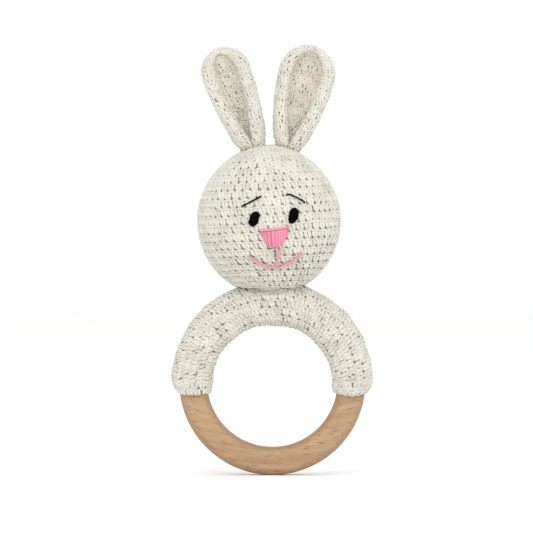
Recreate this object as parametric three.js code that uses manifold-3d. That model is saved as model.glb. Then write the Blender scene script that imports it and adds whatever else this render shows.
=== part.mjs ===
// Crocheted bunny teething ring.
// The upper half of a beech ring runs through a crocheted sleeve. A stuffed crocheted head with a rattle
// inside is sewn on top of the sleeve, two curled ears are sewn on the head, and the face is embroidered.
// Millimetres, +Z up, the face looks along -Y, origin on the ground under the middle of the ring.

import * as THREE from 'three';
import { mergeVertices } from 'three/addons/utils/BufferGeometryUtils.js';
import Module from 'manifold-3d';

// Wooden ring
const RING_OUTER_RADIUS = 35;
const BAR_WIDTH = 10.5;
const BAR_THICKNESS = 10;
const BAR_CORNER_RADIUS = 3.25;
const BAR_CORNER_STEPS = 3;
const RING_SEGMENTS = 48;

// Fabric and fits
const FABRIC = 2.4;
const GAP = 0.3;
const THREAD_RADIUS = 0.5;
const THREAD_SIDES = 6;

// Sleeve round the upper part of the ring
const SLEEVE_HALF_ANGLE = 98;
const SLEEVE_CORNER_STEPS = 4;
const SEAM_STEPS = 30;
const SEAM_FORWARD = 2;
const SEAM_END_SETBACK = 1;

// Head: two half superellipses of revolution on one equator
const HEAD_X = -1.3;
const HEAD_Z = 96;
const HEAD_RADIUS = 27.1;
const HEAD_TOP = 28;
const HEAD_TOP_POWER = 1.9;
const HEAD_BOTTOM = 28.5;
const HEAD_BOTTOM_POWER = 2.05;
const HEAD_SEGMENTS = 40;
const HEAD_ROWS = 16;
const LINING_SEGMENTS = 32;
const LINING_ROWS = 12;
const FILLING_SEGMENTS = 24;
const FILLING_ROWS = 10;
const UNDERSIDE_Z = 70;

// Neck between sleeve and head, and the room it needs to nod and tilt
const NECK_RADIUS = 7.2;
const NECK_TOP_Z = 75.2;
const NECK_BOTTOM_Z = 67;
const NECK_OPENING_RADIUS = 9.6;
const NECK_ROOM = 1.6;
const NECK_SADDLE_GAP = 0.6;
const HEAD_SADDLE_GAP = 2.5;
const NECK_SEGMENTS = 24;

// Rattle inside the head
const RATTLE_RADIUS = 14;
const RATTLE_WALL = 1.2;
const RATTLE_SEGMENTS = 24;
const RATTLE_ROWS = 14;
const BEAD_RADIUS = 2.5;
const BEAD_COUNT = 3;
const BEAD_CIRCLE_RADIUS = 3.3;
const BEAD_SEGMENTS = 12;
const BEAD_ROWS = 8;

// Ears: a flattened tube curled lengthwise into a cup that opens to the front
const EAR_LENGTH = 39;
const EAR_THICKNESS = 5.5;
const EAR_TIP_THINNING = 1.2;
const EAR_BASE_HALF_WIDTH = 5.7;
const EAR_PIVOT_HEIGHT = 6;
const EAR_CUP_DEPTH = 3.3;
const EAR_SHIFT_FORWARD = 0.7;
const EAR_CURL_BASE = 124;
const EAR_CURL_WIDE = 100;
const EAR_OPEN_AT = 0.4;
const EAR_ARC_STEPS = 8;
const EAR_FOOT_LEVELS = [0.4, 1.3, 2.8, 4.4];
const EAR_ROWS = 11;
const EAR_TOP_ROW = EAR_ROWS + 0.6;
const EAR_SEAM_HALF_WIDTH = 5.8;
const EAR_SEAM_HALF_DEPTH = 6.3;
const EAR_SEAM_STEPS = 20;
const EAR_SEAM_END = 6;
const EARS = [
  { side: 'left', x: -7.3, z: 123.5, tilt: -20, halfWidth: 9.5 },
  { side: 'right', x: 5.9, z: 123.3, tilt: 14.5, halfWidth: 10.9 },
];

// Embroidered face, drawn in X and Z. A nose side is a Bezier curve: its two control points, then its end.
const SATIN_THICKNESS = 1;
const LINE_THICKNESS = 0.8;
const EYE_HALF_WIDTH = 1.9;
const EYE_HALF_HEIGHT = 2.8;
const EYES = [
  { name: 'eye_left', x: -6.7, z: 96.3, lean: 8 },
  { name: 'eye_right', x: 7.9, z: 97.6, lean: 4 },
];
const NOSE_LEFT_CORNER = [-4.9, 91.6];
const NOSE_LEFT_SIDE = [-3.8, 87.6, -0.6, 85.6, 1.7, 85.4];
const NOSE_RIGHT_SIDE = [4, 85.6, 5.9, 88.6, 6.6, 92.9];
const BROW_WIDTH = 0.9;
const MOUTH_WIDTH = 1.1;
const BAND_STEPS = 6;
const OUTLINE_STEPS = 5;

const BAR_CENTRE_RADIUS = RING_OUTER_RADIUS - BAR_WIDTH / 2;
const RING_CENTRE = new THREE.Vector3(0, 0, RING_OUTER_RADIUS);
const HEAD_CENTRE = new THREE.Vector3(HEAD_X, 0, HEAD_Z);
const SLEEVE_GROW = GAP + FABRIC;
const FAR = 60;
const WELD = 1e-4;
const ORIGIN_2D = new THREE.Vector2();

const BEECH = { color: 0xc9a883, roughness: 0.5 };
const CROCHET = { color: 0xece7da, roughness: 0.95 };
const SEWING_THREAD = { color: 0xece7da, roughness: 0.9 };
const FILLING = { color: 0xf6f6f2, roughness: 1 };
const RATTLE_PLASTIC = { color: 0xf4f4f4, roughness: 0.4 };
const BEAD_PLASTIC = { color: 0xc0392b, roughness: 0.35 };
const BLACK_THREAD = { color: 0x151515, roughness: 0.6 };
const PINK_THREAD = { color: 0xee94aa, roughness: 0.6 };

const BROW = { width: BROW_WIDTH, look: BLACK_THREAD };
const PINK_LINE = { width: MOUTH_WIDTH, look: PINK_THREAD };
const STITCHED_LINES = [
  { name: 'brow_left', points: [[-11.5, 100.9], [-7.6, 103.1], [-3.8, 104.8]], ...BROW },
  { name: 'brow_right', points: [[4.9, 105.4], [7, 105.1], [11.9, 102.6]], ...BROW },
  { name: 'nose_bar', points: [[-5.2, 92.6], [6.9, 93.9]], ...PINK_LINE },
  { name: 'philtrum', points: [[1.8, 84.9], [2.3, 79]], ...PINK_LINE },
  { name: 'mouth_left', points: [[-8.6, 82.7], [-4.6, 80.1], [1.8, 77.8]], ...PINK_LINE },
  { name: 'mouth_right', points: [[2.8, 77.8], [8.9, 81.5], [11, 83.6]], ...PINK_LINE },
];

const wasm = await Module();
wasm.setup();

const radians = THREE.MathUtils.degToRad;
const group = new THREE.Group();

function add(name, geometry, look, parent = group) {
  const mesh = new THREE.Mesh(geometry, new THREE.MeshStandardMaterial({ ...look, metalness: 0 }));
  mesh.name = name;
  parent.add(mesh);
  return mesh;
}

// --- Solids: joining and cutting closed meshes ---

function toSolid(geometry) {
  const bare = geometry.clone();
  bare.deleteAttribute('normal');
  bare.deleteAttribute('uv');
  const merged = mergeVertices(bare, WELD);
  const index = merged.index.array;
  const triVerts = [];
  for (let i = 0; i < index.length; i += 3) {
    const [a, b, c] = index.slice(i, i + 3);
    if (a !== b && b !== c && c !== a) triVerts.push(a, b, c);
  }
  return new wasm.Manifold(new wasm.Mesh({
    numProp: 3,
    vertProperties: merged.attributes.position.array,
    triVerts: new Uint32Array(triVerts),
  }));
}

function toGeometry(solid) {
  const { vertProperties, triVerts } = solid.getMesh();
  const geometry = new THREE.BufferGeometry();
  geometry.setAttribute('position', new THREE.BufferAttribute(vertProperties, 3));
  geometry.setIndex(new THREE.BufferAttribute(triVerts, 1));
  geometry.computeVertexNormals();
  return geometry;
}

// --- Wooden ring and sleeve: turned about the ring's own axis, which lies along Y ---

function arcPoints(centreX, centreY, radius, fromDegrees, toDegrees, steps) {
  const points = [];
  for (let i = 0; i <= steps; i++) {
    const angle = radians(fromDegrees + ((toDegrees - fromDegrees) * i) / steps);
    points.push(new THREE.Vector2(centreX + radius * Math.cos(angle), centreY + radius * Math.sin(angle)));
  }
  return points;
}

// Section of the bar with rounded corners, grown by an even margin.
function barProfile(grow, cornerSteps) {
  const radius = BAR_CORNER_RADIUS + grow;
  const x = BAR_WIDTH / 2 - BAR_CORNER_RADIUS;
  const y = BAR_THICKNESS / 2 - BAR_CORNER_RADIUS;
  const points = [
    ...arcPoints(BAR_CENTRE_RADIUS + x, y, radius, 0, 90, cornerSteps),
    ...arcPoints(BAR_CENTRE_RADIUS - x, y, radius, 90, 180, cornerSteps),
    ...arcPoints(BAR_CENTRE_RADIUS - x, -y, radius, 180, 270, cornerSteps),
    ...arcPoints(BAR_CENTRE_RADIUS + x, -y, radius, 270, 360, cornerSteps),
  ];
  points.push(points[0].clone());
  return points;
}

function turnedBar(grow, cornerSteps = BAR_CORNER_STEPS) {
  return new THREE.LatheGeometry(barProfile(grow, cornerSteps), RING_SEGMENTS)
    .translate(RING_CENTRE.x, RING_CENTRE.y, RING_CENTRE.z);
}

// The wedge below the sleeve's two ends, as deep as needed to cut right through.
function bareWedge() {
  const end = radians(SLEEVE_HALF_ANGLE);
  const shape = new THREE.Shape();
  shape.moveTo(0, 0);
  shape.lineTo(FAR * Math.sin(end), FAR * Math.cos(end));
  shape.lineTo(FAR, -FAR);
  shape.lineTo(-FAR, -FAR);
  shape.lineTo(-FAR * Math.sin(end), FAR * Math.cos(end));
  return new THREE.ExtrudeGeometry(shape, { depth: 2 * FAR, bevelEnabled: false })
    .translate(0, 0, -FAR)
    .rotateX(Math.PI / 2)
    .translate(RING_CENTRE.x, RING_CENTRE.y, RING_CENTRE.z);
}

// The sleeve's outer form with no bore, grown by a margin: what the head and neck are cut to fit.
function sleeveForm(margin) {
  return toSolid(turnedBar(SLEEVE_GROW + margin, SLEEVE_CORNER_STEPS)).subtract(toSolid(bareWedge()));
}

function buildRingAndSleeve() {
  add('wooden_ring', turnedBar(0), BEECH);
  const bore = toSolid(turnedBar(GAP));
  add('sleeve', toGeometry(sleeveForm(0).subtract(bore)), CROCHET);
}

// Sewing thread that closes the sleeve along the inner side of the ring, a little to the front.
function buildSleeveSeam() {
  const halfWidth = BAR_WIDTH / 2 + SLEEVE_GROW;
  const sag = halfWidth - Math.sqrt(halfWidth ** 2 - SEAM_FORWARD ** 2);
  const radius = BAR_CENTRE_RADIUS - halfWidth + sag - GAP - THREAD_RADIUS;
  const points = [];
  for (let i = 0; i <= SEAM_STEPS; i++) {
    const angle = radians(SLEEVE_HALF_ANGLE - SEAM_END_SETBACK) * ((2 * i) / SEAM_STEPS - 1);
    points.push(new THREE.Vector3(
      radius * Math.sin(angle), -SEAM_FORWARD, RING_CENTRE.z + radius * Math.cos(angle)));
  }
  add('sleeve_seam', threadAlong(new THREE.CatmullRomCurve3(points), SEAM_STEPS), SEWING_THREAD);
}

// A round thread along a curve, with its two ends closed.
function threadAlong(curve, steps) {
  const lastSide = 360 - 360 / THREAD_SIDES;
  const section = new THREE.Shape(arcPoints(0, 0, THREAD_RADIUS, 0, lastSide, THREAD_SIDES - 1));
  return new THREE.ExtrudeGeometry(section, { steps, extrudePath: curve, bevelEnabled: false });
}

// --- Head ---

// Half outline of the head grown by a margin, from the lower pole to the upper one.
function headProfile(grow, rows) {
  const points = [];
  for (let i = 0; i <= rows; i++) {
    const angle = Math.PI * (i / rows - 0.5);
    const upper = angle > 0;
    const power = 2 / (upper ? HEAD_TOP_POWER : HEAD_BOTTOM_POWER);
    const reach = (upper ? HEAD_TOP : -HEAD_BOTTOM) + (upper ? grow : -grow);
    const onAxis = i === 0 || i === rows;
    const radius = onAxis ? 0 : (HEAD_RADIUS + grow) * Math.cos(angle) ** power;
    points.push(new THREE.Vector2(radius, reach * Math.abs(Math.sin(angle)) ** power));
  }
  return points;
}

function turnedUpright(points, segments, centre) {
  return new THREE.LatheGeometry(points, segments)
    .rotateX(Math.PI / 2)
    .translate(centre.x, centre.y, centre.z);
}

function headForm(grow, rows = HEAD_ROWS, segments = HEAD_SEGMENTS) {
  return toSolid(turnedUpright(headProfile(grow, rows), segments, HEAD_CENTRE));
}

function block(width, bottomZ, topZ) {
  const height = topZ - bottomZ;
  return toSolid(new THREE.BoxGeometry(width, width, height)
    .translate(HEAD_X, 0, bottomZ + height / 2));
}

function pillar(radius, bottomZ, topZ) {
  const height = topZ - bottomZ;
  return toSolid(new THREE.CylinderGeometry(radius, radius, height, NECK_SEGMENTS)
    .rotateX(Math.PI / 2)
    .translate(HEAD_X, 0, bottomZ + height / 2));
}

// Ball about the rattle's centre, with the same facets at any radius.
function rattleBall(radius) {
  return toSolid(new THREE.SphereGeometry(radius, RATTLE_SEGMENTS, RATTLE_ROWS)
    .rotateX(Math.PI / 2)
    .translate(HEAD_X, 0, HEAD_Z));
}

function buildHeadCover() {
  const inside = headForm(-FABRIC, LINING_ROWS, LINING_SEGMENTS)
    .subtract(block(2 * FAR, 0, UNDERSIDE_Z + FABRIC));
  const cover = headForm(0)
    .subtract(block(2 * FAR, 0, UNDERSIDE_Z))
    .subtract(inside)
    .subtract(pillar(NECK_OPENING_RADIUS, NECK_BOTTOM_Z, NECK_TOP_Z))
    .subtract(sleeveForm(HEAD_SADDLE_GAP));
  add('head_cover', toGeometry(cover), CROCHET);
}

// Polyester filling in two halves round the rattle, with room for the neck to move.
function buildStuffing() {
  const filling = headForm(-FABRIC - GAP, FILLING_ROWS, FILLING_SEGMENTS)
    .subtract(block(2 * FAR, 0, UNDERSIDE_Z + FABRIC + GAP))
    .subtract(rattleBall(RATTLE_RADIUS + GAP))
    .subtract(pillar(NECK_OPENING_RADIUS, NECK_BOTTOM_Z, NECK_TOP_Z + NECK_ROOM))
    .subtract(sleeveForm(HEAD_SADDLE_GAP));
  const lower = filling.intersect(block(2 * FAR, 0, HEAD_Z - GAP / 2));
  const upper = filling.intersect(block(2 * FAR, HEAD_Z + GAP / 2, HEAD_Z + FAR));
  add('stuffing_lower', toGeometry(lower), FILLING);
  add('stuffing_upper', toGeometry(upper), FILLING);
}

function buildRattle() {
  const shell = rattleBall(RATTLE_RADIUS).subtract(rattleBall(RATTLE_RADIUS - RATTLE_WALL));
  const lower = shell.intersect(block(2 * FAR, 0, HEAD_Z - GAP / 2));
  const upper = shell.intersect(block(2 * FAR, HEAD_Z + GAP / 2, HEAD_Z + FAR));
  add('rattle_shell_lower', toGeometry(lower), RATTLE_PLASTIC);
  add('rattle_shell_upper', toGeometry(upper), RATTLE_PLASTIC);
  const track = RATTLE_RADIUS - RATTLE_WALL - BEAD_RADIUS - GAP;
  const drop = Math.sqrt(track ** 2 - BEAD_CIRCLE_RADIUS ** 2);
  for (let i = 0; i < BEAD_COUNT; i++) {
    const angle = (2 * Math.PI * i) / BEAD_COUNT + Math.PI / 2;
    const bead = new THREE.SphereGeometry(BEAD_RADIUS, BEAD_SEGMENTS, BEAD_ROWS).translate(
      HEAD_X + BEAD_CIRCLE_RADIUS * Math.cos(angle), BEAD_CIRCLE_RADIUS * Math.sin(angle), HEAD_Z - drop);
    add(`rattle_bead_${i + 1}`, bead, BEAD_PLASTIC);
  }
}

// Gathered closing rounds of the head, drawn in to a short neck that sits on the sleeve.
function buildNeck() {
  const neck = pillar(NECK_RADIUS, NECK_BOTTOM_Z, NECK_TOP_Z).subtract(sleeveForm(NECK_SADDLE_GAP));
  add('neck_gather', toGeometry(neck), CROCHET);
}

// --- Ears ---

function earHalfWidth(height, halfWidth) {
  const wide = EAR_LENGTH - halfWidth;
  if (height > wide) return halfWidth * Math.sqrt(Math.max(0, 1 - ((height - wide) / halfWidth) ** 2));
  const growth = Math.sin((Math.PI / 2) * (height / wide));
  return EAR_BASE_HALF_WIDTH + (halfWidth - EAR_BASE_HALF_WIDTH) * growth;
}

// One level section of the ear: a thick arc, open at the front, with round ends. Points run from one
// end of the arc along its back to the other end, then along its front, so point i faces point -i.
function earSection(height, halfWidth) {
  const open = THREE.MathUtils.clamp(height / (EAR_OPEN_AT * EAR_LENGTH), 0, 1);
  const half = earHalfWidth(height, halfWidth);
  const thick = Math.min(EAR_THICKNESS, half * EAR_TIP_THINNING) / 2;
  const middle = half - thick;
  const curl = radians(THREE.MathUtils.lerp(EAR_CURL_BASE, EAR_CURL_WIDE, open));
  const closing = THREE.MathUtils.clamp((EAR_LENGTH - height) / EAR_THICKNESS, 0, 1);
  const depth = EAR_CUP_DEPTH * closing;
  const footReach = Math.max(0, EAR_PIVOT_HEIGHT - height) / EAR_PIVOT_HEIGHT;
  const footDepth = Math.sqrt(1 - footReach ** 2);
  const footWidth = Math.sqrt(footDepth);
  const pointAt = (angle, turn) => {
    const normal = new THREE.Vector2(depth * Math.sin(angle), middle * Math.cos(angle)).normalize();
    normal.multiplyScalar(thick).rotateAround(ORIGIN_2D, turn);
    const y = depth * Math.cos(angle) + normal.y - EAR_SHIFT_FORWARD;
    const x = middle * Math.sin(angle) + normal.x;
    return new THREE.Vector3(x * footWidth, y * footDepth, height - EAR_PIVOT_HEIGHT);
  };
  const back = [];
  const front = [];
  for (let i = 0; i <= EAR_ARC_STEPS; i++) {
    const angle = curl * ((2 * i) / EAR_ARC_STEPS - 1);
    back.push(pointAt(angle, 0));
    front.unshift(pointAt(angle, Math.PI));
  }
  const eighth = Math.PI / 4;
  const firstEnd = [5, 6, 7].map((step) => pointAt(-curl, -step * eighth));
  const lastEnd = [1, 2, 3].map((step) => pointAt(curl, -step * eighth));
  return [firstEnd[1], firstEnd[2], ...back, ...lastEnd, ...front, firstEnd[0]];
}

function earLevels() {
  const levels = [...EAR_FOOT_LEVELS];
  const above = EAR_LENGTH - EAR_PIVOT_HEIGHT;
  for (let i = 0; i <= EAR_ROWS; i++) {
    levels.push(EAR_PIVOT_HEIGHT + above * Math.sin((Math.PI / 2) * (i / EAR_TOP_ROW)));
  }
  return levels;
}

// Closed skin over a stack of sections in which point i faces point -i across a strip.
function loft(sections) {
  const count = sections[0].length;
  const index = [];
  for (let row = 0; row + 1 < sections.length; row++) {
    for (let i = 0; i < count; i++) {
      const a = row * count + i;
      const b = row * count + ((i + 1) % count);
      index.push(a, a + count, b, b, a + count, b + count);
    }
  }
  const closeStrip = (start, flip) => {
    for (let i = 0; i < count / 2; i++) {
      const corners = [i, i + 1, count - i - 1, (count - i) % count];
      const quad = (flip ? corners.reverse() : corners).map((corner) => start + corner);
      index.push(quad[0], quad[1], quad[2], quad[0], quad[2], quad[3]);
    }
  };
  closeStrip(0, false);
  closeStrip((sections.length - 1) * count, true);
  const geometry = new THREE.BufferGeometry().setFromPoints(sections.flat());
  geometry.setIndex(index);
  return toGeometry(toSolid(geometry));
}

// The ear stands in a group whose origin is its hinge: the middle of its round foot.
function buildEar({ side, x, z, tilt, halfWidth }) {
  const lean = radians(tilt);
  const hinge = new THREE.Group();
  hinge.position.set(x + EAR_PIVOT_HEIGHT * Math.sin(lean), 0, z + EAR_PIVOT_HEIGHT * Math.cos(lean));
  hinge.rotation.y = lean;
  group.add(hinge);
  const blade = loft(earLevels().map((height) => earSection(height, halfWidth)));
  add(`ear_${side}`, blade, CROCHET, hinge);
}

// Height of the head's top at a distance from its axis.
function headTopZ(distance) {
  const share = 1 - (distance / HEAD_RADIUS) ** HEAD_TOP_POWER;
  return HEAD_Z + HEAD_TOP * share ** (1 / HEAD_TOP_POWER);
}

// Sewing thread that runs round an ear's foot on the head, its two ends meeting at the back.
function buildEarSeam({ side, x }) {
  const points = [];
  for (let i = 0; i <= EAR_SEAM_STEPS; i++) {
    const angle = radians(EAR_SEAM_END + ((360 - 2 * EAR_SEAM_END) * i) / EAR_SEAM_STEPS);
    const threadX = x + EAR_SEAM_HALF_WIDTH * Math.sin(angle);
    const threadY = EAR_SEAM_HALF_DEPTH * Math.cos(angle);
    const z = headTopZ(Math.hypot(threadX - HEAD_X, threadY)) + GAP + THREAD_RADIUS;
    points.push(new THREE.Vector3(threadX, threadY, z));
  }
  add(`ear_${side}_seam`, threadAlong(new THREE.CatmullRomCurve3(points), EAR_SEAM_STEPS), SEWING_THREAD);
}

// --- Embroidered face: outlines drawn in X and Z, laid on the front of the head ---

// Outline of an even band along a smooth line through the points.
function bandShape(points, width) {
  const line = new THREE.SplineCurve(points.map(([x, z]) => new THREE.Vector2(x, z)));
  const edge = (direction) => {
    const side = [];
    for (let i = 0; i <= BAND_STEPS; i++) {
      const tangent = line.getTangent(i / BAND_STEPS);
      const offset = new THREE.Vector2(-tangent.y, tangent.x).multiplyScalar((direction * width) / 2);
      side.push(line.getPoint(i / BAND_STEPS).add(offset));
    }
    return side;
  };
  return new THREE.Shape([...edge(-1), ...edge(1).reverse()]);
}

function eyeShape({ x, z, lean }) {
  const shape = new THREE.Shape();
  shape.absellipse(x, z, EYE_HALF_WIDTH, EYE_HALF_HEIGHT, 0, 2 * Math.PI, false, -radians(lean));
  return shape;
}

function noseShape() {
  const shape = new THREE.Shape();
  shape.moveTo(...NOSE_LEFT_CORNER);
  shape.bezierCurveTo(...NOSE_LEFT_SIDE);
  shape.bezierCurveTo(...NOSE_RIGHT_SIDE);
  return shape;
}

// A layer of thread that lies on the head inside an outline.
function embroider(name, shape, thickness, look) {
  const prism = new THREE.ExtrudeGeometry(
    shape, { depth: FAR, bevelEnabled: false, curveSegments: OUTLINE_STEPS }).rotateX(Math.PI / 2);
  const layer = headForm(GAP + thickness).subtract(headForm(GAP));
  add(name, toGeometry(toSolid(prism).intersect(layer)), look);
}

function buildFace() {
  EYES.forEach((eye) => embroider(eye.name, eyeShape(eye), SATIN_THICKNESS, BLACK_THREAD));
  embroider('nose_satin', noseShape(), SATIN_THICKNESS, PINK_THREAD);
  for (const { name, points, width, look } of STITCHED_LINES) {
    embroider(name, bandShape(points, width), LINE_THICKNESS, look);
  }
}

buildRingAndSleeve();
buildSleeveSeam();
buildHeadCover();
buildStuffing();
buildRattle();
buildNeck();
EARS.forEach(buildEar);
EARS.forEach(buildEarSeam);
buildFace();

export default group;
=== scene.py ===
"""Looks of the crocheted bunny teething ring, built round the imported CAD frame.

Every stitch is yarn: short strands swept over a smooth skin of the sleeve, the head, the neck or an ear.
Lengths are in metres; MM turns millimetres into metres. The face looks along -Y and +Z is up.
"""
import math

import bpy
import numpy as np
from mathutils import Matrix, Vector


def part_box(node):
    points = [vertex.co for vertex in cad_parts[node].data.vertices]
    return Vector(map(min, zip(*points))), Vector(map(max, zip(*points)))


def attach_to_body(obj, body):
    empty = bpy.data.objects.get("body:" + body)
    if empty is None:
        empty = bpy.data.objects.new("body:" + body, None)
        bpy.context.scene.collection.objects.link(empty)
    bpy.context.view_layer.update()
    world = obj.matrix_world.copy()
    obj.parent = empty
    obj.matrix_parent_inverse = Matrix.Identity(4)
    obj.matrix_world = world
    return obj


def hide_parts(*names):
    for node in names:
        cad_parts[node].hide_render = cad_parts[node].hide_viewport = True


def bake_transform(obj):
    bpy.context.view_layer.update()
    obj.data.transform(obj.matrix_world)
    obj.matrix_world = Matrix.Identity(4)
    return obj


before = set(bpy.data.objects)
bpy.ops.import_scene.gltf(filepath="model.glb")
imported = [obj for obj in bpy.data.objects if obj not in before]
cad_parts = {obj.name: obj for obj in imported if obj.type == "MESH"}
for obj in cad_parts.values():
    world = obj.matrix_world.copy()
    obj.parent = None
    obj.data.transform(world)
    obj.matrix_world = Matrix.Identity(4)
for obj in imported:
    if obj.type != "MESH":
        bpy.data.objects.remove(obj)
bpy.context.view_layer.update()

MM = 0.001

# Places and sizes taken from the frame
RING_LOW, RING_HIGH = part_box("wooden_ring")
SLEEVE_LOW, SLEEVE_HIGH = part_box("sleeve")
HEAD_LOW, HEAD_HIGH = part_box("head_cover")
RING_RADIUS = (RING_HIGH.z - RING_LOW.z) / 2
RING_Z = (RING_HIGH.z + RING_LOW.z) / 2
BAR_THICKNESS = RING_HIGH.y - RING_LOW.y
HEAD_X = (HEAD_LOW.x + HEAD_HIGH.x) / 2
HEAD_RADIUS = (HEAD_HIGH.x - HEAD_LOW.x) / 2
UNDERSIDE_Z = HEAD_LOW.z

# Ring: a bar with rounded corners, bent round
BAR_WIDTH = 10.5 * MM
BAR_CORNER = 3.25 * MM
BAR_RADIUS = RING_RADIUS - BAR_WIDTH / 2
BAR_CORNER_STEPS = 8
RING_STEPS = 240

# Sleeve. A share is a place along it, from -1 at its left end to 1 at its right end. SLEEVE_POWER is how
# square its section is, where 2 is an ellipse. INNER_SAG is how far its inner side stands out at the middle
# and at the ends.
SLEEVE_HALF_WIDTH = SLEEVE_HIGH.x - BAR_RADIUS
SLEEVE_HALF_DEPTH = (SLEEVE_HIGH.y - SLEEVE_LOW.y) / 2
SLEEVE_CORNER = SLEEVE_HALF_WIDTH - BAR_WIDTH / 2 + BAR_CORNER
SLEEVE_HALF_ANGLE = math.radians(98)
SLEEVE_POWER = 2.35
SLEEVE_ROWS = 100
SLEEVE_COLUMNS = 96
SECTION_STEPS = 400
INNER_SAG = (0.4 * MM, -1.1 * MM)

# Sleeve's ends: the rows that turn in, how far past the end they bulge, as a share, and how deep they turn
# in; then the last stretch of the sleeve that gets thinner, rounder outside and a little longer inside
TUCK_ROWS = 5
TUCK_REACH = 0.012
TUCK_DEPTH = 1.4 * MM
END_SHARE = 0.11
END_THINNING = 0.8 * MM
END_ROUNDING = 2.3 * MM
END_SLANT = 0.03

# Slight swells along the sleeve: how high, how many radians from the middle to an end, and where they start
LONG_SWELL, LONG_SWELL_RATE, LONG_SWELL_START = 0.15 * MM, 13, 1
SHORT_SWELL, SHORT_SWELL_RATE = 0.1 * MM, 41

# Seam on the sleeve's inner side: how far round the section it runs, and its sewing stitches
SEAM_TURN = 0.457
SEAM_COLUMN = round(SEAM_TURN * SLEEVE_COLUMNS)
SEAM_SPACING = 2.6 * MM
SEAM_END_GAP = 2 * MM

# Head: two half superellipses of revolution on one equator. NECK_OPENING holds the radius, and the height
# over the underside, of the rim where its skin starts. POLE_RADIUS is where the skin ends at the top.
HEAD_TOP = 28 * MM
HEAD_Z = HEAD_HIGH.z - HEAD_TOP
HEAD_TOP_POWER = 1.9
HEAD_BOTTOM = 28.5 * MM
HEAD_BOTTOM_POWER = 2.05
HEAD_ROWS = 110
HEAD_COLUMNS = 160
OUTLINE_STEPS = 400
POLE_RADIUS = 1.2 * MM
NECK_OPENING = [(9.2 * MM, 1.4 * MM), (10.8 * MM, 1.0 * MM)]

# Head's crochet: how far the rounds tilt sideways and forward, in radians, how much more the stitches lean on
# one side than on the other, the share of the rounds in each piece, and how much less painted shade tints the
# base at the top
HEAD_ROLL = 0.052
HEAD_NOD = 0.026
HEAD_SWIRL = 0.16
HEAD_PIECES = {"lower": (0, 0.28), "middle": (0.28, 0.55), "upper": (0.55, 1)}
BASE_PAINTED_SHADE_DROP = 0.8

# Neck: half sizes of its oval at the foot, how much they grow up to its top, how deep its foot sinks into
# the sleeve, and how far it rises over the head's underside
NECK_ROWS = 12
NECK_COLUMNS = 96
NECK_HALF_WIDTH, NECK_WIDENING = 8.8 * MM, 1.0 * MM
NECK_HALF_DEPTH, NECK_DEEPENING = 5.6 * MM, 3.6 * MM
NECK_SINK = 0.8 * MM
NECK_RISE = 2.2 * MM

# Ears: where each touches the head, its tilt in degrees, its half width, and the seed of its stitches
EARS = [
    {"side": "left", "x": -7.3 * MM, "z": 123.5 * MM, "tilt": -20, "half_width": 9.5 * MM, "seed": 41},
    {"side": "right", "x": 5.9 * MM, "z": 123.3 * MM, "tilt": 14.5, "half_width": 10.9 * MM, "seed": 43},
]
EAR_LENGTH = 39 * MM
EAR_THICKNESS = 5.5 * MM
EAR_BASE_HALF_WIDTH = 5.7 * MM
EAR_TIP_THINNING = 1.2
EAR_SHIFT_FORWARD = 0.7 * MM

# Ear's foot: where the skin starts in the head, and how high and how far the foot rounds in
EAR_ROOT = -1.5 * MM
EAR_FOOT = 6 * MM
EAR_FOOT_ROUNDING = 0.85

# Ear's cup: its depth, the length below the tip where it gets shallow, how much thinner the wall is at its
# back and over what spread, the angle that the wall curls through to each side at the foot and higher up,
# and the share of the ear's length where it has opened
EAR_CUP_DEPTH = 4.3 * MM
EAR_CUP_FADE = 13 * MM
EAR_BACK_THINNING = 0.42
EAR_BACK_SPREAD = 2.2
EAR_CURL_BASE = 124
EAR_CURL_WIDE = 100
EAR_OPEN_AT = 0.4

# Ear's grid and its seam. Stitches within CUP_TURN of the middle of the cup have their yarn tinted yellower
# and a little darker, a painted shade of light bounced in the cup, which fades over CUP_EDGE.
EAR_ROWS = 60
EAR_TIP_ROWS = 49
EAR_TIP_TURN = 1.5
EAR_STRETCH_STEPS = 40
EAR_COLUMNS = 120
CUP_TURN, CUP_EDGE, CUP_PAINTED_SHADE = 0.2, 0.05, 0.1
EAR_SEAM_STITCHES = 16

# Yarn and sewing thread. The skins lie YARN_SINK under the head's surface and FINE_YARN_SINK under that of
# the sleeve and ears. A base body lies BASE_SINK under its skin and closes the holes. TWIST_START starts
# each strand's twist at a place of its own.
YARN_RADIUS = 0.84 * MM
YARN_SINK = 0.8 * MM
FINE_YARN_SINK = 0.5 * MM
BASE_SINK = 0.3 * MM
# The base's tone, with its tint, is painted shade: it sets how dark the holes look.
BASE_SHADE_TONE = 0.3
HEAD_BASE_SHADE_TONE = 0.6
TWIST_START = 3.7
SEWING_RADIUS = 0.42 * MM
SEWING_DIVE = 0.4

# Sides round a strand, and samples along it
SIDES = 8
SAMPLES = 9
FINE_SIDES = 6
FINE_SAMPLES = 7

# How uneven the hand work is: spreads of a strand's place, lift, thickness and lean, and of a stitch's tone
PLACE_SPREAD = 0.03
LIFT_SPREAD = 0.05
THICKNESS_SPREAD = 0.05
LEAN_SPREAD = 0.05
TONE_SPREAD = 0.2

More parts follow.
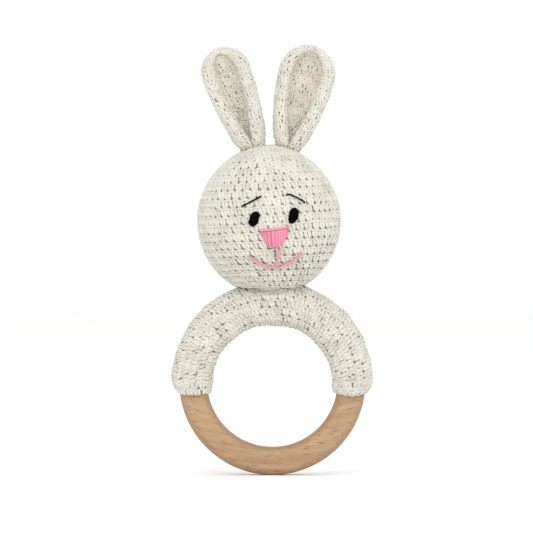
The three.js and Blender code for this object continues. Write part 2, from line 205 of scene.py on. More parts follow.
# Stitches, drawn in one cell: x across in stitch widths, y up in rounds, lift in millimetres, and how
# thick the strand is there against the yarn (1 where it isn't said)
LEFT_LEG = [(-0.08, -0.22, -0.6, 0.4), (-0.1, 0.0, 0.1, 0.45), (-0.17, 0.2, 0.45, 0.72),
            (-0.25, 0.42, 0.5, 1.0), (-0.25, 0.64, 0.4, 1.0), (-0.2, 0.86, -0.2, 0.65)]
RIGHT_LEG = [(0.1, -0.22, -0.6, 0.4), (0.12, 0.0, 0.1, 0.45), (0.18, 0.2, 0.4, 0.72),
             (0.25, 0.42, 0.45, 1.0), (0.25, 0.64, 0.35, 1.0), (0.2, 0.86, -0.2, 0.65)]
TOP_LOOP = [(-0.62, 0.95, 0.3, 0.55), (-0.42, 0.94, 0.75, 0.62), (-0.2, 0.88, 0.45, 0.5),
            (0.0, 0.84, 0.15, 0.45), (0.2, 0.88, 0.45, 0.5), (0.42, 0.94, 0.75, 0.62),
            (0.62, 0.95, 0.3, 0.55)]
TALL_STITCH = [LEFT_LEG, RIGHT_LEG, TOP_LOOP]
GATHERED_STITCH = [[(0.02, -0.12, -0.5), (-0.06, 0.08, 0.15), (-0.2, 0.36, 0.45), (-0.3, 0.68, -0.3)],
                   [(0.12, -0.12, -0.5), (0.2, 0.08, 0.1), (0.22, 0.36, 0.4), (0.12, 0.7, -0.3)],
                   [(-0.2, -0.04, -0.4), (-0.3, 0.16, 0.2), (-0.46, 0.4, 0.35), (-0.52, 0.68, -0.3)],
                   [(-0.05, 0.48, -0.4), (0.1, 0.57, 0.2), (0.28, 0.6, 0.3), (0.48, 0.5, -0.3)],
                   [(-0.58, 0.7, -0.4), (-0.34, 0.82, 0.3), (-0.1, 0.9, 0.35), (0.14, 0.84, -0.3)],
                   [(-0.08, 0.94, -0.4), (0.14, 0.88, 0.3), (0.34, 0.78, 0.32), (0.58, 0.84, -0.35)]]
HOLE_STRAND = [(0.24, -0.06, -0.5), (0.38, 0.12, 0.05), (0.5, 0.26, 0.1), (0.64, 0.44, -0.5)]

# Rounds of stitches: how far a round's feet stand from the tops below, the room left at an open skin's two
# edges (both in stitches), the fewest stitches, how early a round takes one more, how thin or full its yarn
# may get to fill the round, and how much less its strands are thinned in the highest round
STAGGER = 0.5
EDGE_MARGIN = 0.7
FEWEST_STITCHES = 5
EXTRA_STITCH = 0.1
THINNEST, FULLEST = 0.85, 1.15
THINNING_DROP = 0.75

# How each piece is crocheted, in the words of crochet()
HEAD_CROCHET = {"stitch": TALL_STITCH, "width": (3.4 * MM, 2.65 * MM), "height": 3.15 * MM,
                "lean": (-0.65, -0.05), "multiple": 6, "flat": 0.6, "thickness": 1.07, "thin_ends": 0.9}
SLEEVE_CROCHET = {"stitch": TALL_STITCH, "width": (2.9 * MM, 2.9 * MM), "height": 2.8 * MM,
                  "lean": (-0.3, -0.3), "thickness": 1.02, "jitter": 1.1, "flat": 0.62, "thin_ends": 0.85,
                  "closed_holes": 0.55, "sides": FINE_SIDES, "samples": FINE_SAMPLES}
BORDER_CROCHET = {"stitch": TALL_STITCH, "width": (2.85 * MM, 2.85 * MM), "height": 3 * MM,
                  "lean": (-0.15, -0.15), "thickness": 0.95, "jitter": 1.1, "flat": 0.65, "thin_ends": 0.7,
                  "closed_holes": 0.5, "sides": FINE_SIDES, "samples": FINE_SAMPLES}
NECK_CROCHET = {"stitch": GATHERED_STITCH, "width": (2.6 * MM, 2.6 * MM), "height": 2.8 * MM,
                "lean": (-0.2, -0.2), "thickness": 0.58, "closed_holes": 0.7, "sides": FINE_SIDES,
                "samples": FINE_SAMPLES}
EAR_CROCHET = {"stitch": TALL_STITCH, "width": (2.2 * MM, 2.2 * MM), "height": 2.5 * MM,
               "lean": (-0.15, -0.15), "thickness": 0.72, "jitter": 1.5, "flat": 0.75, "thin_ends": 0.3,
               "closed_holes": 0.85, "sides": FINE_SIDES, "samples": 6}

# Face, in millimetres where MM isn't named. Lines are points in X and Z. A crest is how high a thread stands,
# and a crown is how much higher it stands in the middle of the eye or nose.
EYES = [
    {"side": "left", "x": -6.7, "z": 95.9, "lean": 14, "half_height": 2.6},
    {"side": "right", "x": 7.7, "z": 97.2, "lean": 9, "half_height": 2.75},
]
EYE_HALF_WIDTH = 1.4
EYE_THREADS = 8
EYE_ROUNDING = 0.72
EYE_CREST, EYE_CROWN, EYE_EDGE = 0.4, 0.35, 0.3
BROWS = {"left": [(-11.5, 100.4), (-9, 101.6), (-6.5, 102.9), (-4, 104.3)],
         "right": [(5.0, 104.8), (6.4, 104.8), (8.7, 103.8), (10.6, 102.8), (12.1, 101.9)]}
NOSE_THREADS = 21
NOSE_TOP_X, NOSE_TOP_HALF_WIDTH = 0.8, 4.9
NOSE_TOP_Z, NOSE_TOP_SLANT = 91.9, 0.6
NOSE_FOOT_X, NOSE_FOOT_HALF_WIDTH = 1.1, 4.1
NOSE_HEIGHT, NOSE_EDGE_HEIGHT = 6.4, 1.8
NOSE_ROUNDING = 2.8
NOSE_BULGE = 0.25
NOSE_CREST, NOSE_CROWN = 0.45, 0.3
NOSE_STREAK, NOSE_STREAK_RATE = 0.13, 24
NOSE_BAR = [(-4.9, 91.6), (0.8, 92.2), (6.3, 93.0)]
MOUTH = {"philtrum": [(1.5, 86.0), (1.8, 82.5), (2.1, 78.2)],
         "mouth_left": [(-8.8, 82.4), (-5.0, 80.0), (-0.9, 78.4), (2.3, 78.0)],
         "mouth_right": [(1.9, 77.9), (4.6, 78.9), (7.9, 81.0), (11.0, 83.6)]}

# Threads: radius and crest of each, how deep and over what share of its length a thread dives at its ends,
# and its lumps
EYE_RADIUS, BROW_RADIUS = 0.38, 0.33
NOSE_RADIUS, NOSE_BAR_RADIUS, MOUTH_RADIUS = 0.3, 0.38, 0.5
BROW_CREST, NOSE_BAR_CREST, MOUTH_CREST = 0.45, 0.9, 0.45
THREAD_SAMPLES = 24
THREAD_DIVE = 0.7
THREAD_DIVE_SHARE = 0.08
LUMP_LENGTH = 2.7 * MM
LUMP_SIZE = 0.07

# Stage: each light's name, place, size and power. The camera looks level along +Y, from so far that
# VIEW_WIDTH fills the frame.
LIGHTS = [
    ("key", (-0.25, -1.7, 1.05), 0.6, 10),
    ("fill", (1.2, -1.2, 0.5), 0.8, 3.4),
]
LIGHT_TARGET = (0, 0, 0.08)
FLOOR_HALF_SIZE = 6
CAMERA_X = -0.0022
CAMERA_Z = 0.0783
CAMERA_LENS = 300
CAMERA_SENSOR = 36
VIEW_WIDTH = 0.2004


# --- Arrays and meshes ---

def unit(vectors):
    """The vectors at length one; a vector of no length stays as it is."""
    length = np.linalg.norm(vectors, axis=-1, keepdims=True)
    return vectors / np.maximum(length, 1e-12)


def even_steps(line, count, closed=False):
    """A line of points laid again in count even steps along its length."""
    if closed:
        line = np.vstack([line, line[:1]])
    along = np.concatenate([[0], np.cumsum(np.linalg.norm(np.diff(line, axis=0), axis=1))])
    wanted = np.linspace(0, along[-1], count + 1 if closed else count)
    if closed:
        wanted = wanted[:-1]
    return np.column_stack([np.interp(wanted, along, line[:, axis]) for axis in range(line.shape[1])])


def smooth_path(controls, count):
    """A Catmull-Rom curve through the control points, at count places."""
    controls = np.asarray(controls, float)
    padded = np.vstack([2 * controls[0] - controls[1], controls, 2 * controls[-1] - controls[-2]])
    place = np.linspace(0, len(controls) - 1, count)
    step = np.minimum(place.astype(int), len(controls) - 2)
    t = (place - step)[:, None]
    a, b, c, d = (padded[step + shift] for shift in range(4))
    return 0.5 * (2 * b + (c - a) * t + (2 * a - 5 * b + 4 * c - d) * t**2 + (3 * b - a - 3 * c + d) * t**3)


def superellipse(angle, half_x, half_y, power):
    """Points of an upright superellipse at the angles."""
    x = half_x * np.sign(np.cos(angle)) * np.abs(np.cos(angle)) ** (2 / power)
    y = half_y * np.sign(np.sin(angle)) * np.abs(np.sin(angle)) ** (2 / power)
    return np.column_stack([x, y])


def full_turn(count):
    """Angles once round, in count even steps."""
    return 2 * np.pi * np.arange(count) / count


def grid_faces(rows, columns):
    """Quads over a grid of points whose columns close into a ring."""
    row, column = np.meshgrid(np.arange(rows - 1), np.arange(columns), indexing="ij")
    beside = (column + 1) % columns
    quads = [row * columns + column, row * columns + beside, (row + 1) * columns + beside,
             (row + 1) * columns + column]
    return np.stack(quads, -1).reshape(-1, 4)


class Shape:
    """Collects points, faces and their yarn coordinates, then makes one mesh object of them."""

    def __init__(self):
        self.points, self.faces, self.yarn, self.tones, self.painted_shades = [], [], [], [], []
        self.count = 0

    def add(self, points, faces, yarn=None, tone=0.5, painted_shade=0.0):
        """faces is a list of index arrays, each (faces, corners); yarn has a pair for each face corner."""
        self.points.append(points.reshape(-1, 3))
        for block in faces:
            self.faces.append(block + self.count)
        corners = sum(block.size for block in faces)
        self.yarn.append(np.zeros((corners, 2)) if yarn is None else yarn)
        self.tones.append(np.broadcast_to(tone, len(self.points[-1])))
        self.painted_shades.append(np.broadcast_to(painted_shade, len(self.points[-1])))
        self.count += len(self.points[-1])

    def build(self, name, material):
        mesh = bpy.data.meshes.new(name)
        points = np.concatenate(self.points).astype(np.float32)
        corners = np.concatenate([block.ravel() for block in self.faces]).astype(np.int32)
        sizes = np.concatenate([np.full(len(block), block.shape[1]) for block in self.faces])
        starts = np.concatenate([[0], np.cumsum(sizes)[:-1]]).astype(np.int32)
        mesh.vertices.add(len(points))
        mesh.vertices.foreach_set("co", points.ravel())
        mesh.loops.add(len(corners))
        mesh.loops.foreach_set("vertex_index", corners)
        mesh.polygons.add(len(sizes))
        mesh.polygons.foreach_set("loop_start", starts)
        mesh.update(calc_edges=True)
        mesh.polygons.foreach_set("use_smooth", np.ones(len(sizes), bool))
        layer = mesh.uv_layers.new(name="Yarn")
        layer.data.foreach_set("uv", np.concatenate(self.yarn).astype(np.float32).ravel())
        for attribute_name, values in (("tone", self.tones), ("painted_shade", self.painted_shades)):
            attribute = mesh.attributes.new(attribute_name, "FLOAT", "POINT")
            attribute.data.foreach_set("value", np.concatenate(values).astype(np.float32))
        mesh.validate()
        mesh.materials.append(material)
        piece = bpy.data.objects.new(name, mesh)
        bpy.context.scene.collection.objects.link(piece)
        return piece


def sweep(shape, centres, outward, radius, tone=0.5, sides=SIDES, painted_shade=0.0, flat=1.0):
    """Adds round strands along centres (strands, samples, 3), closed at both ends.

    outward keeps each strand's section upright, radius is one number or one for each sample, and flat is how
    high a section is against its width. Yarn coordinates are the length along a strand in millimetres, and
    the share of a turn round it.
    """
    strands, samples, _ = centres.shape
    tangent = unit(np.gradient(centres, axis=1))
    across = unit(np.cross(tangent, outward))
    up = np.cross(across, tangent)
    angle = full_turn(sides)
    reach = np.broadcast_to(radius, (strands, samples))[..., None, None]
    ring = np.cos(angle)[:, None] * across[:, :, None] + flat * np.sin(angle)[:, None] * up[:, :, None]
    points = centres[:, :, None] + reach * ring

    quads = grid_faces(samples, sides)[:, ::-1]
    caps = np.array([np.arange(sides), (samples - 1) * sides + np.arange(sides)[::-1]])
    first = (np.arange(strands) * samples * sides)[:, None, None]
    faces = [(quads + first).reshape(-1, 4), (caps + first).reshape(-1, sides)]

    length = np.broadcast_to(centres[:, :1, 0] * TWIST_START, (strands, samples)).copy()
    length[:, 1:] += np.cumsum(np.linalg.norm(np.diff(centres, axis=1), axis=2), axis=1)
    row, column = np.divmod(quads, sides)
    crosses_start = column.max(1, keepdims=True) == sides - 1
    column = np.where((column == 0) & crosses_start, sides, column)
    along = length[:, row]
    around = np.broadcast_to(column / sides, along.shape)
    yarn = np.stack([along / MM, around], -1).reshape(-1, 2)
    yarn = np.vstack([yarn, np.zeros((strands * 2 * sides, 2))])
    tone, painted_shade = (np.repeat(np.broadcast_to(value, strands), samples * sides) for value in (tone, painted_shade))
    shape.add(points, faces, yarn, tone, painted_shade)


class Skin:
    """A smooth skin held as a grid of points: rows run up it, and columns run round it and close, or run
    from its one end to its other end if closed is false."""

    def __init__(self, points, closed=True):
        around = np.roll(points, -1, 1) - np.roll(points, 1, 1) if closed else np.gradient(points, axis=1)
        beside = np.roll(points, -1, 1) if closed else np.append(points[:, 1:], points[:, -1:], axis=1)
        self.points = points
        self.closed = closed
        self.normals = unit(np.cross(around, np.gradient(points, axis=0)))
        self.girth = np.linalg.norm(beside - points, axis=2).sum(1)
        steps = np.linalg.norm(np.diff(points, axis=0), axis=2).mean(1)
        self.height = np.concatenate([[0], np.cumsum(steps)])

    def at(self, turn, height, lift):
        """Points and outward normals at a share of a turn, a height up the skin and a lift off it."""
        rows, columns, _ = self.points.shape
        row = np.interp(height, self.height, np.arange(rows))
        column = np.mod(turn, 1) * columns if self.closed else np.clip(turn, 0, 1) * (columns - 1)
        r0 = np.minimum(row.astype(int), rows - 2)
        c0 = column.astype(int) % columns
        c1 = (c0 + 1) % columns if self.closed else np.minimum(c0 + 1, columns - 1)
        row_part = (row - r0)[..., None]
        column_part = (column - np.floor(column))[..., None]

        def blend(grid):
            low = grid[r0, c0] * (1 - column_part) + grid[r0, c1] * column_part
            high = grid[r0 + 1, c0] * (1 - column_part) + grid[r0 + 1, c1] * column_part
            return low * (1 - row_part) + high * row_part

        normal = unit(blend(self.normals))
        return blend(self.points) + normal * lift[..., None], normal

    def base(self):
        """The grid sunk under the yarn, as points and faces of one closed body."""
        points = self.points - self.normals * BASE_SINK
        rows, columns, _ = points.shape
        ends = points[[0, -1]].mean(1)
        everything = np.vstack([points.reshape(-1, 3), ends])
        turn = np.arange(columns)
        beside = (turn + 1) % columns
        low_end, high_end = rows * columns, rows * columns + 1
        top = (rows - 1) * columns
        low_fan = np.column_stack([beside, turn, np.full(columns, low_end)])
        high_fan = np.column_stack([top + turn, top + beside, np.full(columns, high_end)])
        return everything, [grid_faces(rows, columns), low_fan, high_fan]


def attach(piece, body, slot, *nodes):
    """Makes a piece ride on a body and stand for CAD nodes, which it hides. The slot is not used."""
    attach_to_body(piece, body)
    if nodes:
        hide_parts(*nodes)


# --- Crochet and sewing ---

def plan_round(skin, middle, step, risen, width, lean, multiple):
    """How many stitches a round has, how far they lean, and how full their yarn is."""
    girth = np.interp(middle, skin.height, skin.girth)
    wanted = width[0] + (width[1] - width[0]) * risen**2
    count = max(FEWEST_STITCHES, multiple * round(girth / wanted / multiple + EXTRA_STITCH))
    tilt = lean[0] + (lean[1] - lean[0]) * risen
    slope = tilt * girth / count / step
    fullness = np.clip(girth / count / wanted, THINNEST, FULLEST) / math.sqrt(1 + slope**2)
    return count, tilt, fullness


def crochet(shape, skin, rng, stitch, width, height, lean, multiple=1, thickness=1.0, jitter=0.5, flat=1.0,
            thin_ends=0.0, closed_holes=0.0, sides=SIDES, samples=SAMPLES, painted_shade=None, swirl=None,
            wander=None, rounds=None):
    """Adds rounds of stitches all the way up a skin.

    stitch holds the strands of one stitch. width and lean are given for the lowest and the highest round, and
    lean is a share of a stitch. A round's stitches are a multiple of multiple. thickness is the yarn's,
    against YARN_RADIUS, and jitter is how uneven the strands are. flat is how high a strand and its path are
    against a round strand's. thin_ends is how much of its own thinning a strand has in the lowest round; it
    has less further up. closed_holes is the share of stitches whose hole has a strand over it.
    A callable given for painted shade gives how much a stitch's yarn is tinted darker by its turn, which
    paints shade in the ear's cup, and swirl gives a stitch's extra lean by its turn; wander lifts a round by
    its turn and height, and rounds picks the rounds to make.
    """
    total = max(1, round(skin.height[-1] / height))
    step = skin.height[-1] / total
    phase = 0
    for number in range(total):
        start = number * step
        risen = number / max(1, total - 1)
        count, tilt, fullness = plan_round(skin, start + step / 2, step, risen, width, lean, multiple)
        trim = thin_ends * (1 - THINNING_DROP * risen**2)
        place = np.arange(count) + phase
        phase = (phase + STAGGER + tilt) % 1
        tone = np.clip(0.5 + TONE_SPREAD * rng.normal(0, 1, count), 0, 1)
        nudge = rng.normal(0, 1, (4, count))
        covered = rng.random(count) < closed_holes
        if rounds and number not in rounds:
            continue
        inside = np.full(count, True)
        if not skin.closed:
            inside = (place > EDGE_MARGIN) & (place < count - EDGE_MARGIN)
        for controls in [*stitch, HOLE_STRAND]:
            loose = nudge + jitter * rng.normal(0, 1, (4, count))
            sway = rng.normal(0, LEAN_SPREAD * jitter, count)
            here = covered & inside if controls is HOLE_STRAND else inside
            if not here.any():
                continue
            path = smooth_path(controls, samples)
            across, up, out, swell = (row[here][:, None] for row in loose)
            leaning = tilt + sway[here] + (swirl(place[here] / count) if swirl else 0)
            x = path[:, 0] + leaning[:, None] * path[:, 1] + PLACE_SPREAD * across
            y = path[:, 1] + PLACE_SPREAD * up
            lift = (path[:, 2] + LIFT_SPREAD * out) * thickness * flat * MM
            turn = (place[here][:, None] + x) / count
            level = start + y * step
            if wander:
                level = level + wander(turn, level)
            centres, normals = skin.at(turn, level, lift)
            slim = 1 - trim * (1 - path[:, 3]) if path.shape[1] > 3 else 1.0
            radius = YARN_RADIUS * thickness * fullness * slim * (1 + THICKNESS_SPREAD * swell)
            shade_tint = painted_shade(place[here] / count) if painted_shade else 0.0
            sweep(shape, centres, normals, radius, tone[here], sides, shade_tint, flat)


def sewing_stitches(name, skin, turns, levels, slant, rise, crest, tone, body, node):
    """Short stitches of sewing thread over a seam, one at each turn and level of a skin. Each slants round
    the skin, rises up it, and arches from under it to its crest, in millimetres."""
    path = np.linspace(-0.5, 0.5, FINE_SAMPLES)
    turn = turns[:, None] + slant * path
    level = levels[:, None] + rise * path
    arch = (crest + SEWING_DIVE) * np.cos(path * math.pi) - SEWING_DIVE
    lift = np.broadcast_to(arch * MM, turn.shape)
    centres, normals = skin.at(turn, level, lift)
    shape = Shape()
    sweep(shape, centres, normals, SEWING_RADIUS, tone, FINE_SIDES)
    attach(shape.build(name, COTTON), body, "cotton_crochet", node)


# --- Materials ---

class Surface:
    """A node material built up from one Principled shader."""

    def __init__(self, name, roughness):
        self.material = bpy.data.materials.new(name)
        self.material.use_nodes = True
        self.tree = self.material.node_tree
        self.principled = self.tree.nodes["Principled BSDF"]
        self.set("Roughness", roughness)

    def set(self, socket, value):
        """A value, or what a node gives, for a socket of the shader."""
        self.fill(self.principled, socket, value)

    def fill(self, node, socket, value):
        if isinstance(value, bpy.types.NodeSocket):
            self.tree.links.new(value, node.inputs[socket])
        else:
            node.inputs[socket].default_value = value

    def node(self, kind, inputs=None, **settings):
        made = self.tree.nodes.new("ShaderNode" + kind)
        for key, value in settings.items():
            setattr(made, key, value)
        for socket, value in (inputs or {}).items():
            self.fill(made, socket, value)
        return made

    def math(self, operation, *values):
        return self.node("Math", dict(enumerate(values)), operation=operation).outputs[0]

    def mix(self, factor, first, second, blend="MIX"):
        made = self.node("Mix", {0: factor, 6: first, 7: second}, data_type="RGBA", blend_type=blend)
        return made.outputs[2]

    def ramp(self, value, low, low_colour, high, high_colour):
        made = self.node("ValToRGB", {"Fac": value})
        first, last = made.color_ramp.elements
        first.position, first.color = low, low_colour
        last.position, last.color = high, high_colour
        return made.outputs["Color"]

    def noise(self, place, scale, detail, **more):
        inputs = {"Vector": place, "Scale": scale, "Detail": detail, **more}
        return self.node("TexNoise", inputs).outputs["Fac"]

    def stretched_noise(self, place, scales, detail, **more):
        """Noise of scale one in a space that is stretched along each axis."""
        space = self.node("Mapping", {"Vector": place, "Scale": scales}).outputs[0]
        return self.noise(space, 1, detail, **more)

    def object_place(self):
        return self.node("TexCoord").outputs["Object"]

    def attribute(self, name):
        return self.node("Attribute", attribute_name=name).outputs["Fac"]

    def bump(self, height, strength, distance):
        relief = self.node("Bump", {"Height": height, "Strength": strength, "Distance": distance})
        self.set("Normal", relief.outputs["Normal"])


def srgb(red, green, blue):
    """A colour given in screen values from 0 to 255, as linear light."""
    levels = np.array([red, green, blue]) / 255
    linear = np.where(levels <= 0.04045, levels / 12.92, ((levels + 0.055) / 1.055) ** 2.4)
    return (*linear, 1)


def yarn_material(name, light, dark, plies, lay, bump=0.5, sheen=0.25, roughness=0.9, gloss=0.2, shade_tint=None):
    """Twisted yarn: plies run round the strand once every lay millimetres, over fine fibres. Its colour
    darkens in the grooves between the plies, which is painted shade. Where a stitch or base carries painted
    shade, its colour is multiplied by the shade tint, which darkens the holes and tints the ear's cup."""
    yarn = Surface(name, roughness)
    yarn.set("Sheen Weight", sheen)
    yarn.set("Sheen Roughness", 0.5)
    yarn.set("Specular IOR Level", gloss)
    coordinates = yarn.node("UVMap", uv_map="Yarn").outputs[0]
    along, around, _ = yarn.node("SeparateXYZ", {0: coordinates}).outputs
    turns = yarn.math("ADD", yarn.math("DIVIDE", along, lay), around)
    wave = yarn.math("SINE", yarn.math("MULTIPLY", turns, plies * math.pi))
    ply = yarn.math("ABSOLUTE", wave)
    place = yarn.object_place()
    fibres = yarn.noise(place, 4200, 3)
    blotches = yarn.noise(place, 130, 2)
    uneven = yarn.math("ADD", fibres, yarn.math("ADD", yarn.attribute("tone"), blotches))
    # Painted shade: the colour darkens in the grooves between the plies; the fibres, the tone and the
    # blotches are the yarn's own uneven colour.
    shade = yarn.math("MULTIPLY", yarn.math("ADD", ply, uneven), 1 / 4)
    colour = yarn.ramp(shade, 0.22, dark, 0.62, light)
    # Painted shade: the tint multiplies the colour where painted shade is carried, darkening the holes and
    # the ear's cup.
    if shade_tint:
        colour = yarn.mix(yarn.attribute("painted_shade"), colour, shade_tint, "MULTIPLY")
    yarn.set("Base Color", colour)
    yarn.bump(yarn.math("MULTIPLY_ADD", fibres, 0.5, ply), bump, 0.2 * MM)
    return yarn.material


def beech_material():
    """Bare sanded beech: bowed grain that runs across the ring, short dark flecks along it, and its inner and
    outer edges painted a little darker, as painted shade on their roundovers."""
    beech = Surface("beech", 0.5)
    x, y, z = beech.node("SeparateXYZ", {0: beech.object_place()}).outputs
    aside = beech.math("SUBTRACT", x, 6 * MM)
    bowed = beech.math("MULTIPLY_ADD", beech.math("MULTIPLY", aside, aside), -5, z)
    along_grain = beech.node("CombineXYZ", {0: x, 1: y, 2: bowed}).outputs[0]
    grain = beech.stretched_noise(along_grain, (45, 350, 520), 6, Roughness=0.6, Distortion=0.4)
    flecks = beech.stretched_noise(along_grain, (190, 2600, 2900), 1)
    clouds = beech.stretched_noise(along_grain, (14, 60, 70), 3)
    colour = beech.ramp(grain, 0.36, srgb(150, 114, 80), 0.62, srgb(186, 154, 118))
    colour = beech.mix(clouds, colour, srgb(172, 138, 102))
    spots = beech.ramp(flecks, 0.62, (0, 0, 0, 1), 0.7, (1, 1, 1, 1))
    colour = beech.mix(spots, colour, srgb(118, 80, 54))
    # Painted shade: the colour darkens towards the ring's inner and outer edges, where the roundovers turn
    # away from the light.
    from_centre = beech.node("CombineXYZ", {0: x, 2: beech.math("SUBTRACT", z, RING_Z)}).outputs[0]
    radius = beech.node("VectorMath", {0: from_centre}, operation="LENGTH").outputs["Value"]
    off_middle = beech.math("ABSOLUTE", beech.math("SUBTRACT", radius, BAR_RADIUS))
    edge = beech.node("MapRange", {0: off_middle, 1: 2.8 * MM, 2: BAR_WIDTH / 2, 3: 0.0, 4: 0.55}).outputs[0]
    beech.set("Base Color", beech.mix(edge, colour, srgb(150, 116, 84)))
    beech.bump(grain, 0.15, 0.1 * MM)
    return beech.material


def plain_material(name, light, dark, roughness, scale, bump):
    """A plain surface whose colour drifts a little in fine cloudy patches."""
    plain = Surface(name, roughness)
    cloud = plain.noise(plain.object_place(), scale, 4)
    plain.set("Base Color", plain.mix(cloud, dark, light))
    if bump:
        plain.bump(cloud, bump, 0.2 * MM)
    return plain.material


# The cotton's tint is painted shade: it darkens the base seen in the holes.
COTTON = yarn_material("cotton_yarn", srgb(223, 220, 210), srgb(184, 177, 160), plies=4, lay=5.0, bump=0.8,
                       shade_tint=srgb(240, 236, 227))
# The ear's yarn: a slightly lighter copy of the cotton, whose tint paints a yellower shade of light bounced
# in the cup and the holes.
EAR_COTTON = yarn_material("ear_cotton_yarn", srgb(226, 223, 213), srgb(184, 177, 160), plies=4, lay=5.0,
                           bump=0.8, shade_tint=srgb(255, 241, 214))
BLACK = yarn_material("black_thread", srgb(10, 10, 11), srgb(2, 2, 3), plies=3, lay=3, sheen=0.0,
                      roughness=0.8, gloss=0.03)
PINK = yarn_material("pink_thread", srgb(234, 156, 177), srgb(184, 76, 108), plies=3, lay=3.5, sheen=0.2,
                     roughness=0.6)
PALE_PINK = yarn_material("pale_pink_thread", srgb(220, 159, 166), srgb(190, 122, 138), plies=3, lay=3.5,
                          sheen=0.2, roughness=0.65)
BEECH = beech_material()
FLOOR = plain_material("floor_paper", srgb(255, 255, 255), srgb(253, 253, 252), 1.0, 900, 0.0)
FILLING = plain_material("fibre_filling", srgb(240, 238, 232), srgb(214, 210, 200), 1.0, 1500, 0.6)
SHELL = plain_material("rattle_plastic", srgb(233, 230, 220), srgb(226, 222, 211), 0.35, 2200, 0.1)
BEADS = plain_material("bead_plastic", srgb(200, 66, 50), srgb(186, 54, 40), 0.3, 2600, 0.1)


# --- Ring and sleeve ---

def build_ring():
    quarter = np.linspace(0, math.pi / 2, BAR_CORNER_STEPS + 1)
    flat_x = BAR_WIDTH / 2 - BAR_CORNER
    flat_y = BAR_THICKNESS / 2 - BAR_CORNER
    corners = []
    for number, (side_x, side_y) in enumerate([(1, 1), (-1, 1), (-1, -1), (1, -1)]):
        angle = quarter + number * math.pi / 2
        corners.append(np.column_stack([side_x * flat_x + BAR_CORNER * np.cos(angle),
                                        side_y * flat_y + BAR_CORNER * np.sin(angle)]))
    section = np.vstack(corners)
    angle = full_turn(RING_STEPS)[:, None]
    points = np.empty((RING_STEPS, len(section), 3))
    points[..., 0] = (BAR_RADIUS + section[:, 0]) * np.sin(angle)
    points[..., 1] = -section[:, 1]
    points[..., 2] = RING_Z + (BAR_RADIUS + section[:, 0]) * np.cos(angle)
    faces = grid_faces(RING_STEPS + 1, len(section)) % (RING_STEPS * len(section))
    shape = Shape()
    shape.add(points, [faces])
    attach(shape.build("beech_ring", BEECH), "ring", "beech", "wooden_ring")


def sleeve_row(share, inset):
    """One section round the sleeve at a share of the way along it. inset is how far it turns in, up to 1."""
    near_end = max(0, (abs(share) - (1 - END_SHARE)) / END_SHARE)
    rounding = 1 - math.sqrt(max(0.1, 1 - near_end**2))
    swell = LONG_SWELL * math.sin(LONG_SWELL_RATE * share + LONG_SWELL_START)
    swell += SHORT_SWELL * math.sin(SHORT_SWELL_RATE * share)
    swell -= TUCK_DEPTH * inset + END_THINNING * rounding
    wide = SLEEVE_HALF_WIDTH - FINE_YARN_SINK + swell
    deep = SLEEVE_HALF_DEPTH - FINE_YARN_SINK + swell
    section = superellipse(full_turn(SECTION_STEPS), wide, deep, SLEEVE_POWER)
    inward = INNER_SAG[0] + (INNER_SAG[1] - INNER_SAG[0]) * abs(share)
    section[:, 0] *= np.where(section[:, 0] < 0, 1 + inward / wide, 1 - END_ROUNDING * rounding / wide)
    section = even_steps(section, SLEEVE_COLUMNS, closed=True)
    outer = np.clip(section[:, 0] / wide, 0, 1)
    angle = share * SLEEVE_HALF_ANGLE * (1 - END_SLANT * outer * abs(share) ** 8)
    reach = BAR_RADIUS + section[:, 0]
    return np.column_stack([reach * np.sin(angle), -section[:, 1], RING_Z + reach * np.cos(angle)])


def sleeve_skin():
    """The sleeve's outside, from its left end over the top to its right end. Both ends turn in."""
    tuck = np.linspace(1, 0, TUCK_ROWS + 1)[:-1] * math.pi / 2
    reach = TUCK_REACH * np.sin(tuck)
    inset = 1 - np.cos(tuck)
    shares = np.concatenate([-1 - reach, np.linspace(-1, 1, SLEEVE_ROWS), 1 + reach[::-1]])
    insets = np.concatenate([inset, np.zeros(SLEEVE_ROWS), inset[::-1]])
    return Skin(np.array([sleeve_row(share, inset) for share, inset in zip(shares, insets)]))


def strip_of(skin):
    """The sleeve's skin as the strip it is crocheted from: rows run round the bar from the seam on its inner
    side back to it, and columns run from the left end to the right end, short of the turned-in ends."""
    skipped = TUCK_ROWS + 1
    points = np.roll(skin.points[skipped:-skipped], -SEAM_COLUMN, axis=1)
    points = np.append(points, points[:, :1], axis=1)
    return Skin(points.swapaxes(0, 1)[::-1], closed=False)


def build_sleeve():
    rng = np.random.default_rng(5)
    skin = sleeve_skin()
    shape = Shape()
    crochet(shape, strip_of(skin), rng, **SLEEVE_CROCHET)
    last = round(skin.height[-1] / BORDER_CROCHET["height"]) - 1
    crochet(shape, skin, rng, rounds=(0, 1, last - 1, last), **BORDER_CROCHET)
    # Painted shade: the base is toned and tinted darker, which shades the holes.
    shape.add(*skin.base(), tone=BASE_SHADE_TONE, painted_shade=1.0)
    attach(shape.build("sleeve_crochet", COTTON), "sleeve", "cotton_crochet", "sleeve")
    levels = np.arange(SEAM_END_GAP, skin.height[-1] - SEAM_END_GAP, SEAM_SPACING)
    turns = np.full(len(levels), SEAM_TURN)
    sewing_stitches("sleeve_seam_thread", skin, turns, levels, slant=0.06, rise=1.4 * MM, crest=0.8, tone=0.5,
                    body="sleeve", node="sleeve_seam")


# --- Neck and head ---

def sleeve_top(x, y):
    """Height of the sleeve's upper side over a place."""
    past_flat = np.maximum(0, np.abs(y) - (BAR_THICKNESS / 2 - BAR_CORNER))
    corner = np.sqrt(np.maximum(0, SLEEVE_CORNER**2 - past_flat**2))
    crown = BAR_RADIUS + BAR_WIDTH / 2 - BAR_CORNER + corner
    return RING_Z + np.sqrt(crown**2 - x**2)


